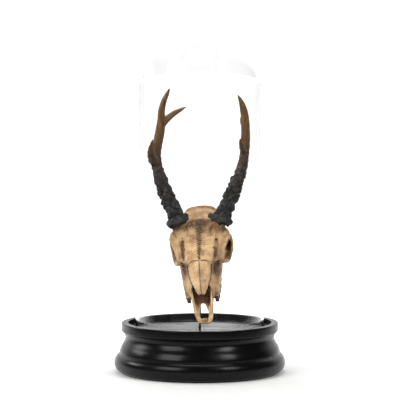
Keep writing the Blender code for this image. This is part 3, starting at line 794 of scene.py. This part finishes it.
def paint_wash_and_shade(mesh, shelter, proud):
    """Keeps on each vertex how much brown wash and painted shade lies there, and how worn it is, with
    a painted highlight.
    """
    places = places_of(mesh)
    normals = normals_of(mesh)
    points = places / MM
    gap = suture_distance(points, normals[:, 2])
    closed = shelter.at(places, normals)
    blotch = np.clip(0.5 + 0.8 * fine_noise(points, 5), 0, 1)
    rough = rough_crown(points, normals[:, 2])
    seam = np.exp(-(gap / 0.95) ** 2) * (0.55 + 0.45 * blotch)
    set_share(mesh, "seam", seam)
    # Painted shade where the surface is closed in, plus wash on the rough crown, near the sutures and
    # in patches.
    wash_and_shade = soft_step(closed, 0.16, 0.72) + rough * (0.05 + 0.45 * blotch)
    wash_and_shade += np.exp(-(gap / 3.4) ** 2) * 0.2
    wash_and_shade += 0.26 * soft_step(fine_noise(points + 31, 13), 0.1, 0.7)
    mirrored = folded(points)
    for place, radii, strength in WASH_AND_SHADE_PATCHES:
        reach = np.linalg.norm((mirrored - np.array(place)) / np.array(radii), axis=1)
        wash_and_shade += strength * np.exp(-(reach + 0.4 * blotch - 0.2) ** 4) * (0.75 + 0.5 * blotch)
    # Painted shade: the inner face of each orbit's rim is darkened up to its outer edge.
    toward = np.array(ORBIT_PLACE) - mirrored
    facing = np.sum(normals * toward * np.sign(points[:, :1]) ** (1, 0, 0), axis=1)
    inward = soft_step(facing / np.linalg.norm(toward, axis=1), 0, 0.5)
    inward *= soft_step(mirrored[:, 0], 31, 36)
    reach = np.linalg.norm(toward / np.array(ORBIT_REACH), axis=1)
    wash_and_shade += 1.2 * inward * np.exp(-reach**4)
    # Hollow places get more painted shade. Proud places are paler, as rubbed wear with a painted
    # highlight.
    set_share(mesh, "wash_and_shade", wash_and_shade + np.clip(-proud, 0, 0.5) * 1.4)
    set_share(mesh, "worn_and_highlit", np.clip(proud, 0, 1) * 2.2)
    set_share(mesh, "enamel", tooth_share(points))


def weathered_bone(settings):
    """Dry cranial bone, boiled clean and handled for years.

    The eye sees cream to tan with soft mottling, brown dirt in the sutures and hollows, paler
    rubbed ridges, a faint long grain and a dull, slightly waxy gloss. The hollows' brown also
    holds painted shade, and the ridges' paleness a painted highlight.
    """
    material, tree, shader = start_material("weathered bone")
    place = add_node(tree, "TexCoord", {}, {}, "Object")
    along = add_node(tree, "Mapping", {}, {"Vector": place, "Rotation": (-NOSE_DOWN, 0, 0)})
    fibre = add_node(tree, "Mapping", {}, {"Vector": along, "Scale": (1, 0.16, 1)})
    wash_and_shade, seam, worn_and_highlit, enamel = (
        add_node(tree, "Attribute", {"attribute_name": name}, {}, "Fac")
        for name in ("wash_and_shade", "seam", "worn_and_highlit", "enamel"))
    # Mottling 12 mm across, fibres 1.2 mm apart and pores of 1 mm, drawn a little coarse.
    mottle = add_node(
        tree, "TexNoise", {}, {"Vector": place, "Scale": 82, "Detail": 5, "Roughness": 0.6})
    fibres = add_node(
        tree, "TexNoise", {}, {"Vector": fibre, "Scale": 820, "Detail": 3, "Roughness": 0.6})
    pores = add_node(tree, "TexVoronoi", {}, {"Vector": place, "Scale": 900}, "Distance")

    # Cream and tan bone with darker fibres, then wash with painted shade, brown where it is thin and
    # dark where it is deep, and dirt in the sutures.
    uneven = add_node(tree, "MapRange", SOFT, {
        "Value": mottle, "From Min": 0.2, "From Max": 0.6, "To Min": 0.7, "To Max": 1.1})
    patchy_wash_and_shade = add_node(tree, "Math", TIMES, {0: wash_and_shade, 1: uneven})
    base = layered(tree, settings.cream, (
        (mottle, 0.36, 0.66, 1, settings.tan),
        (fibres, 0.42, 0.72, 0.3, settings.brown),
        (patchy_wash_and_shade, 0.06, 0.62, 1, settings.brown),
        (patchy_wash_and_shade, 0.5, 1, 0.92, settings.dark),
        (seam, 0.15, 0.8, 0.9, settings.dark)))

    # Rubbed ridges with a painted highlight, and tartar on the teeth.
    rubbed_and_highlit = add_node(tree, "Math", TIMES, {0: worn_and_highlit, 1: 0.5})
    base = add_node(tree, "Mix", COLOUR, {0: rubbed_and_highlit, 6: base, 7: settings.cream}, 2)
    tartar = layered(tree, settings.tartar, [(mottle, 0.35, 0.6, 1, settings.dark)])
    coated = add_node(tree, "Math", TIMES, {0: enamel, 1: 0.85})
    base = add_node(tree, "Mix", COLOUR, {0: coated, 6: base, 7: tartar}, 2)

    pits = add_node(tree, "MapRange", SOFT, {"Value": pores, "From Min": 0.1, "From Max": 0.5})
    shallow = add_node(tree, "Math", TIMES, {0: pits, 1: 0.4})
    height = add_node(tree, "Math", TIMES_PLUS, {0: fibres, 1: 0.6, 2: shallow})
    bump = add_node(tree, "Bump", {}, {"Height": height, "Strength": 0.35, "Distance": 0.4 * MM})
    set_sockets(tree, shader, {
        "Base Color": base, "Roughness": 0.52, "IOR": 1.5, "Specular IOR Level": 0.4, "Normal": bump})
    return material


def pearl_skin(mesh, settings, foot):
    """Raises an antler's pearls and furrows, which fade towards its polished tips."""
    places = places_of(mesh)
    normals = normals_of(mesh)
    share = 1 - soft_step(places[:, 2], *PEARLS_FADE)
    cell = settings.pearl_size
    lift = np.zeros(len(places))
    for i, place in enumerate(places):
        if share[i] > 0:
            distances, centres = noise.voronoi(Vector(place) / cell)
            tall = 0.5 + 0.5 * abs(noise.cell(centres[0] * 3.1))
            lift[i] = max(0.0, 1 - (distances[0] / 0.7) ** 1.6) * tall - 0.12
    lift *= share * settings.pearl_height
    above = (places - np.array(foot[0]) * MM) @ np.array(Vector(foot[1]).normalized()) / MM
    collar = np.exp(-((above - 5.5) / 4.6) ** 2) - 0.35 * np.exp(-((above - 14.5) / 2.6) ** 2)
    points = places / MM
    lift += collar * settings.burr_height * (0.7 + 0.6 * fine_noise(points, 6))
    lift += (0.45 * share + 0.16) * MM * fine_noise(points, 3.1, (1, 1, 8))
    lift += 0.25 * MM * share * fine_noise(points, 1.4)
    set_places(mesh, places + normals * lift[:, None])


def antler_horn(settings):
    """Hardened antler: stained almost black by bark below, rubbed brown and pale at the tips.

    The eye sees matt charcoal pearls with dusty crowns, then brown with a lengthwise grain, and
    a low gloss that grows where rubbing has polished the tines. A painted highlight lies on the
    crowns and painted shade in the hollows between the pearls.
    """
    material, tree, shader = start_material("stained antler")
    place = add_node(tree, "TexCoord", {}, {}, "Object")
    height = add_node(tree, "SeparateXYZ", {}, {"Vector": place}, "Z")
    drawn = add_node(tree, "Mapping", {}, {"Vector": place, "Scale": (1, 1, 0.12)})
    proud, low = (
        add_node(tree, "Attribute", {"attribute_name": name}, {}, "Fac")
        for name in ("worn_and_highlit", "wash_and_shade"))
    # Blotches 9 mm across and grain 2 mm apart, eight times as long as it is wide.
    blotch = add_node(
        tree, "TexNoise", {}, {"Vector": place, "Scale": 110, "Detail": 4, "Roughness": 0.6})
    grain = add_node(
        tree, "TexNoise", {}, {"Vector": drawn, "Scale": 500, "Detail": 5, "Roughness": 0.65})
    uneven = add_node(tree, "Math", TIMES_PLUS, {0: blotch, 1: 0.06, 2: height})

    # Charcoal at the foot, brown above it, then tan, with darker grain.
    base = layered(tree, settings.charcoal, (
        (uneven, 0.296, 0.332, 1, settings.brown),
        (uneven, 0.318, 0.38, 0.9, settings.tan),
        (grain, 0.46, 0.7, 0.75, settings.charcoal)))

    # Dust and a painted highlight on the pearls' crowns, and painted shade in the hollows between
    # them.
    dust_and_highlight = add_node(tree, "Math", TIMES, {0: proud, 1: 0.5})
    base = add_node(tree, "Mix", COLOUR, {0: dust_and_highlight, 6: base, 7: settings.dust}, 2)
    hollow_shade = add_node(tree, "Math", TIMES, {0: low, 1: 0.75})
    base = add_node(tree, "Mix", COLOUR_TIMES, {0: hollow_shade, 6: base, 7: settings.charcoal}, 2)

    rough = add_node(tree, "MapRange", SOFT, {
        "Value": uneven, "From Min": 0.29, "From Max": 0.42, "To Min": 0.66, "To Max": 0.42})
    bump = add_node(tree, "Bump", {}, {"Height": grain, "Strength": 0.4, "Distance": 0.4 * MM})
    set_sockets(tree, shader, {"Base Color": base, "Roughness": rough, "IOR": 1.52, "Normal": bump})
    return material


def satin_lacquer(settings):
    """Black lacquer sprayed on turned hardwood: deep, even, satin, with a trace of orange peel."""
    material, tree, shader = start_material("satin black lacquer")
    place = add_node(tree, "TexCoord", {}, {}, "Object")
    # Orange peel of 2 mm and cloudy handling marks of 30 mm.
    peel = add_node(tree, "TexNoise", {}, {"Vector": place, "Scale": 500, "Detail": 2})
    marks = add_node(tree, "TexNoise", {}, {"Vector": place, "Scale": 33, "Detail": 3})
    rough = add_node(tree, "MapRange", SOFT, {
        "Value": marks, "From Min": 0.3, "From Max": 0.7, "To Min": 0.22, "To Max": 0.3})
    bump = add_node(tree, "Bump", {}, {"Height": peel, "Strength": 0.06, "Distance": 0.4 * MM})
    set_sockets(tree, shader, {
        "Base Color": settings.lacquer, "Roughness": rough, "IOR": 1.5, "Specular IOR Level": 0.2,
        "Normal": bump})
    return material


def gloss_lacquer(settings):
    """High-gloss black lacquer, polished flat: at a low angle it mirrors what is behind it."""
    material, tree, shader = start_material("polished black lacquer")
    place = add_node(tree, "TexCoord", {}, {}, "Object")
    # Polishing haze in streaks 30 mm wide, drawn out from side to side.
    drawn = add_node(tree, "Mapping", {}, {"Vector": place, "Scale": (0.3, 1, 1)})
    haze = add_node(tree, "TexNoise", {}, {"Vector": drawn, "Scale": 33, "Detail": 5})
    rough = add_node(tree, "MapRange", SOFT, {
        "Value": haze, "From Min": 0.38, "From Max": 0.62, "To Min": 0.06, "To Max": 0.24})
    set_sockets(tree, shader, {
        "Base Color": settings.gloss, "Roughness": rough, "IOR": 1.5, "Specular IOR Level": 0.2})
    return material


def dark_steel(settings):
    """Cold-drawn steel rod, blackened: faint lengthwise draw marks under a thin oxide."""
    material, tree, shader = start_material("blackened steel")
    place = add_node(tree, "TexCoord", {}, {}, "Object")
    drawn = add_node(tree, "Mapping", {}, {"Vector": place, "Scale": (1, 1, 0.02)})
    # Draw marks 0.4 mm apart.
    marks = add_node(tree, "TexNoise", {}, {"Vector": drawn, "Scale": 2500, "Detail": 2})
    rough = add_node(tree, "MapRange", SOFT, {
        "Value": marks, "From Min": 0.3, "From Max": 0.7, "To Min": 0.28, "To Max": 0.46})
    set_sockets(tree, shader, {"Base Color": settings.steel, "Metallic": 1, "Roughness": rough})
    return material


def clear_glass():
    """Blown soda-lime glass, 3 mm thick: clear, with faint grey edges and sharp glints."""
    material, tree, shader = start_material("clear blown glass")
    set_sockets(tree, shader, {
        "Base Color": linear("fdfdfd"), "Roughness": 0, "IOR": 1.46, "Transmission Weight": 1})
    # Light falls through the glass without a dark shadow.
    in_shadow = add_node(tree, "LightPath", {}, {}, "Is Shadow Ray")
    clear = add_node(tree, "BsdfTransparent", {}, {})
    through = add_node(tree, "MixShader", {}, {0: in_shadow, 1: shader.outputs[0], 2: clear})
    set_sockets(tree, tree.nodes["Material Output"], {"Surface": through})
    return material


class SKULL_OT_bones(bpy.types.Operator):
    """Makes the skull's nine bones, with their sutures, holes, grain, stains and painted shade"""
    bl_idname = "skull.bones"
    bl_label = "Bones"

    def execute(self, context):
        settings = context.scene.skull_bone
        skull = fused("skull", grown_copies(BONE_NODES), settings.grain)
        mesh = skull.data
        into_skull_frame(mesh)
        points = places_of(mesh) / MM
        teeth = (points[:, 2] < 1) & (np.abs(points[:, 0]) > 14) & (points[:, 1] > 42)
        even_out(mesh, BONE_ROUNDS, np.where(teeth, 0.25, 1.0))
        shrink_back(mesh)
        carve_bone(mesh, settings)
        shelter = Shelter(mesh, SHELTER_EVERY, SHELTER_REACH)
        material = weathered_bone(settings)
        for name, bone in part_bones(skull).items():
            if not len(bone.data.vertices):
                raise RuntimeError(f"{name} came out empty")
            proud = curvature(bone.data, BONE_SURROUNDINGS)
            paint_wash_and_shade(bone.data, shelter, proud)
            into_display_frame(bone.data)
            present(bone, material, [name], sharp=None)
        bpy.data.objects.remove(skull)
        return {"FINISHED"}


class SKULL_OT_antlers(bpy.types.Operator):
    """Makes both antlers, each one piece from its burr to its tips, with pearls and furrows"""
    bl_idname = "skull.antlers"
    bl_label = "Antlers"

    def execute(self, context):
        settings = context.scene.skull_antler
        material = antler_horn(settings)
        for label, _ in SIDES:
            nodes = [f"antler_{label}_{part}" for part in ANTLER_PARTS]
            antler = fused(f"antler_{label}", grown_copies(nodes), settings.grain)
            even_out(antler.data, ANTLER_ROUNDS)
            shrink_back(antler.data)
            pearl_skin(antler.data, settings, ANTLER_FEET[label])
            proud = curvature(antler.data, ANTLER_SURROUNDINGS)
            # Proud places get dust and a painted highlight, hollow places painted shade.
            set_share(antler.data, "worn_and_highlit", np.clip(proud * 3.2, 0, 1))
            set_share(antler.data, "wash_and_shade", np.clip(-proud * 3.2, 0, 1))
            present(antler, material, nodes, sharp=None)
        return {"FINISHED"}


class SKULL_OT_base(bpy.types.Operator):
    """Makes the turned base with its recess, neck and rounded foot"""
    bl_idname = "skull.base"
    bl_label = "Turned base"

    def execute(self, context):
        settings = context.scene.skull_mount
        torus = oval_arc(TORUS_CENTRE, TORUS_RADII, TORUS_ANGLES, 26)
        profile = [*softened(RIM_PROFILE)[:-1], *smooth_line(NECK_POINTS, 1.2), *torus]
        profile += [(FOOT_RADIUS, 0), (0, 0)]
        bm = turned(profile, settings.segments)
        item = new_item("turned_base", bm)
        present(item, satin_lacquer(settings), ["base_turned"])
        return {"FINISHED"}


class SKULL_OT_disc(bpy.types.Operator):
    """Makes the polished disc round the rod"""
    bl_idname = "skull.disc"
    bl_label = "Gloss disc"

    def execute(self, context):
        settings = context.scene.skull_mount
        radius = settings.disc_radius / MM
        profile = softened([
            (ROD_HOLE, DISC_TOP, 0.2), (radius, DISC_TOP, 0.8),
            (radius, DISC_BOTTOM, 0.2), (ROD_HOLE, DISC_BOTTOM, 0.2)])
        bm = turned(profile, settings.segments, loop=True)
        item = new_item("gloss_disc", bm)
        present(item, gloss_lacquer(settings), ["base_disc"])
        return {"FINISHED"}


class SKULL_OT_dome(bpy.types.Operator):
    """Makes the glass dome with its melted, rounded lip"""
    bl_idname = "skull.dome"
    bl_label = "Glass dome"

    def execute(self, context):
        settings = context.scene.skull_mount
        outer = settings.dome_radius / MM
        wall = settings.dome_wall / MM
        rise = DOME_TOP - DOME_SHOULDER
        outside = oval_arc((0, DOME_SHOULDER), (outer, rise), (90, 0), 40)
        inside = oval_arc((0, DOME_SHOULDER), (outer - wall, rise - wall), (0, 90), 40)
        # A ring close to each bend keeps the long upright walls' normals level, so that they
        # don't bend the view.
        below_shoulder = DOME_SHOULDER - 1.5
        above_lip = DOME_FOOT + 3
        lip = softened([
            (outer, DOME_SHOULDER, 0), (outer, below_shoulder, 0), (outer, above_lip, 0),
            (outer, DOME_FOOT, 1.3), (outer - wall, DOME_FOOT, 1.3),
            (outer - wall, above_lip, 0), (outer - wall, below_shoulder, 0),
            (outer - wall, DOME_SHOULDER, 0)])
        profile = [(0, DOME_TOP), *outside[1:-1], *lip, *inside[1:-1], (0, DOME_TOP - wall)]
        bm = turned(profile, settings.segments)
        item = new_item("glass_dome_clear", bm)
        present(item, clear_glass(), ["glass_dome"])
        return {"FINISHED"}


class SKULL_OT_rod(bpy.types.Operator):
    """Makes the thin rod that holds the skull"""
    bl_idname = "skull.rod"
    bl_label = "Rod"

    def execute(self, context):
        settings = context.scene.skull_mount
        radius = settings.rod_radius / MM
        top = settings.rod_top / MM
        profile = softened([
            (0, top, 0), (radius, top, 0.4), (radius, DISC_BOTTOM, 0.3), (0, DISC_BOTTOM, 0)])
        bm = turned(profile, 40)
        item = new_item("steel_rod", bm)
        present(item, dark_steel(settings), ["mount_rod"])
        return {"FINISHED"}


def soft_lamp(name, place, size, power):
    """A rectangular soft lamp that faces the display."""
    light = bpy.data.lights.new(name, "AREA")
    light.shape = "RECTANGLE"
    light.size, light.size_y = size
    light.energy = power
    lamp = bpy.data.objects.new(name, light)
    lamp.location = place
    lamp.rotation_euler = (Vector(LAMP_AIM) - Vector(place)).to_track_quat("-Z", "Y").to_euler()
    bpy.context.scene.collection.objects.link(lamp)


class SKULL_OT_stage(bpy.types.Operator):
    """Makes the pale floor, the soft lamps, the bright backdrop and the camera"""
    bl_idname = "skull.stage"
    bl_label = "Stage"

    def execute(self, context):
        scene = context.scene
        settings = scene.skull_stage
        bm = bmesh.new()
        bmesh.ops.create_grid(bm, x_segments=1, y_segments=1, size=FLOOR_REACH)
        floor = new_item("floor", bm)
        material, tree, shader = start_material("matt white paper sweep")
        place = add_node(tree, "TexCoord", {}, {}, "Object")
        across = add_node(tree, "SeparateXYZ", {}, {"Vector": place}, "X")
        back = add_node(tree, "SeparateXYZ", {}, {"Vector": place}, "Y")
        # The sweep widens towards the back and is lit from below behind the display. In front and
        # at its sides it ends on a dark table, which keeps a veil of reflections off the dome.
        off_axis = add_node(tree, "Math", {"operation": "ABSOLUTE"}, {0: across})
        aside = add_node(tree, "Math", TIMES_PLUS, {0: back, 1: -0.8, 2: off_axis})
        within = add_node(tree, "MapRange", SOFT, {
            "Value": aside, "From Min": 0.4, "From Max": 0.9, "To Min": 1, "To Max": 0})
        glow = add_node(tree, "MapRange", SOFT, {
            "Value": back, "From Min": -0.25, "From Max": 1.0, "To Min": 0.03,
            "To Max": settings.backdrop})
        lit = add_node(tree, "Math", TIMES, {0: within, 1: glow})
        near = add_node(tree, "MapRange", SOFT, {
            "Value": back, "From Min": -0.75, "From Max": -0.4})
        paper = add_node(tree, "Math", TIMES, {0: within, 1: near})
        colour = add_node(
            tree, "Mix", COLOUR, {0: paper, 6: settings.table, 7: settings.floor}, 2)
        set_sockets(tree, shader, {
            "Base Color": colour, "Roughness": 0.9, "Emission Color": (1, 1, 1),
            "Emission Strength": lit})
        floor.data.materials.append(material)

        world = bpy.data.worlds.new("studio")
        world.use_nodes = True
        scene.world = world
        tree = world.node_tree
        way = add_node(tree, "TexCoord", {}, {}, "Generated")
        behind = add_node(tree, "SeparateXYZ", {}, {"Vector": way}, "Y")
        glow = add_node(tree, "MapRange", SOFT, {
            "Value": behind, "From Min": 0.35, "From Max": 0.8, "To Min": 0.08,
            "To Max": settings.backdrop})
        set_sockets(tree, tree.nodes["Background"], {"Color": (1, 1, 1), "Strength": glow})

        soft_lamp("left lamp", (-1.35, -1.35, 1.15), (1.15, 0.95), settings.lamp_left)
        soft_lamp("right lamp", (1.25, -1.3, 1.3), (0.6, 0.75), settings.lamp_right)
        soft_lamp("side lamp", (-1.6, 0.42, 0.78), (0.7, 0.4), settings.lamp_side)
        soft_lamp("top lamp", (0, 0.1, 2.2), (1.6, 1.6), settings.lamp_top)

        lens = bpy.data.cameras.new("camera")
        lens.sensor_width = 36
        lens.lens = FOCAL_LENGTH
        camera = bpy.data.objects.new("camera", lens)
        camera.location = CAMERA_PLACE
        camera.rotation_euler = (math.pi / 2 - CAMERA_DOWN, 0, 0)
        scene.collection.objects.link(camera)
        scene.camera = camera
        scene.view_settings.view_transform = "Standard"
        return {"FINISHED"}


class SKULL_PT_panel(bpy.types.Panel):
    """Lists the pieces and their settings"""
    bl_label = "Skull under glass"
    bl_idname = "SKULL_PT_panel"
    bl_space_type = "VIEW_3D"
    bl_region_type = "UI"
    bl_category = "Skull"

    def draw(self, context):
        groups = (
            (context.scene.skull_bone, ("skull.bones",)),
            (context.scene.skull_antler, ("skull.antlers",)),
            (context.scene.skull_mount, ("skull.base", "skull.disc", "skull.dome", "skull.rod")),
            (context.scene.skull_stage, ("skull.stage",)),
        )
        for settings, operators in groups:
            box = self.layout.box()
            for name in settings.__annotations__:
                box.prop(settings, name)
            for operator in operators:
                box.operator(operator)


SETTINGS = {
    "skull_bone": BoneSettings,
    "skull_antler": AntlerSettings,
    "skull_mount": MountSettings,
    "skull_stage": StageSettings,
}
OPERATORS = (
    SKULL_OT_bones, SKULL_OT_antlers, SKULL_OT_base, SKULL_OT_disc, SKULL_OT_dome, SKULL_OT_rod,
    SKULL_OT_stage,
)


def register():
    for name, group in SETTINGS.items():
        bpy.utils.register_class(group)
        setattr(bpy.types.Scene, name, bpy.props.PointerProperty(type=group))
    for operator in OPERATORS:
        bpy.utils.register_class(operator)
    bpy.utils.register_class(SKULL_PT_panel)


def unregister():
    bpy.utils.unregister_class(SKULL_PT_panel)
    for operator in reversed(OPERATORS):
        bpy.utils.unregister_class(operator)
    for name, group in SETTINGS.items():
        delattr(bpy.types.Scene, name)
        bpy.utils.unregister_class(group)


def main():
    register()
    bpy.ops.skull.bones()
    bpy.ops.skull.antlers()
    bpy.ops.skull.base()
    bpy.ops.skull.disc()
    bpy.ops.skull.dome()
    bpy.ops.skull.rod()
    bpy.ops.skull.stage()


if __name__ == "__main__":
    main()
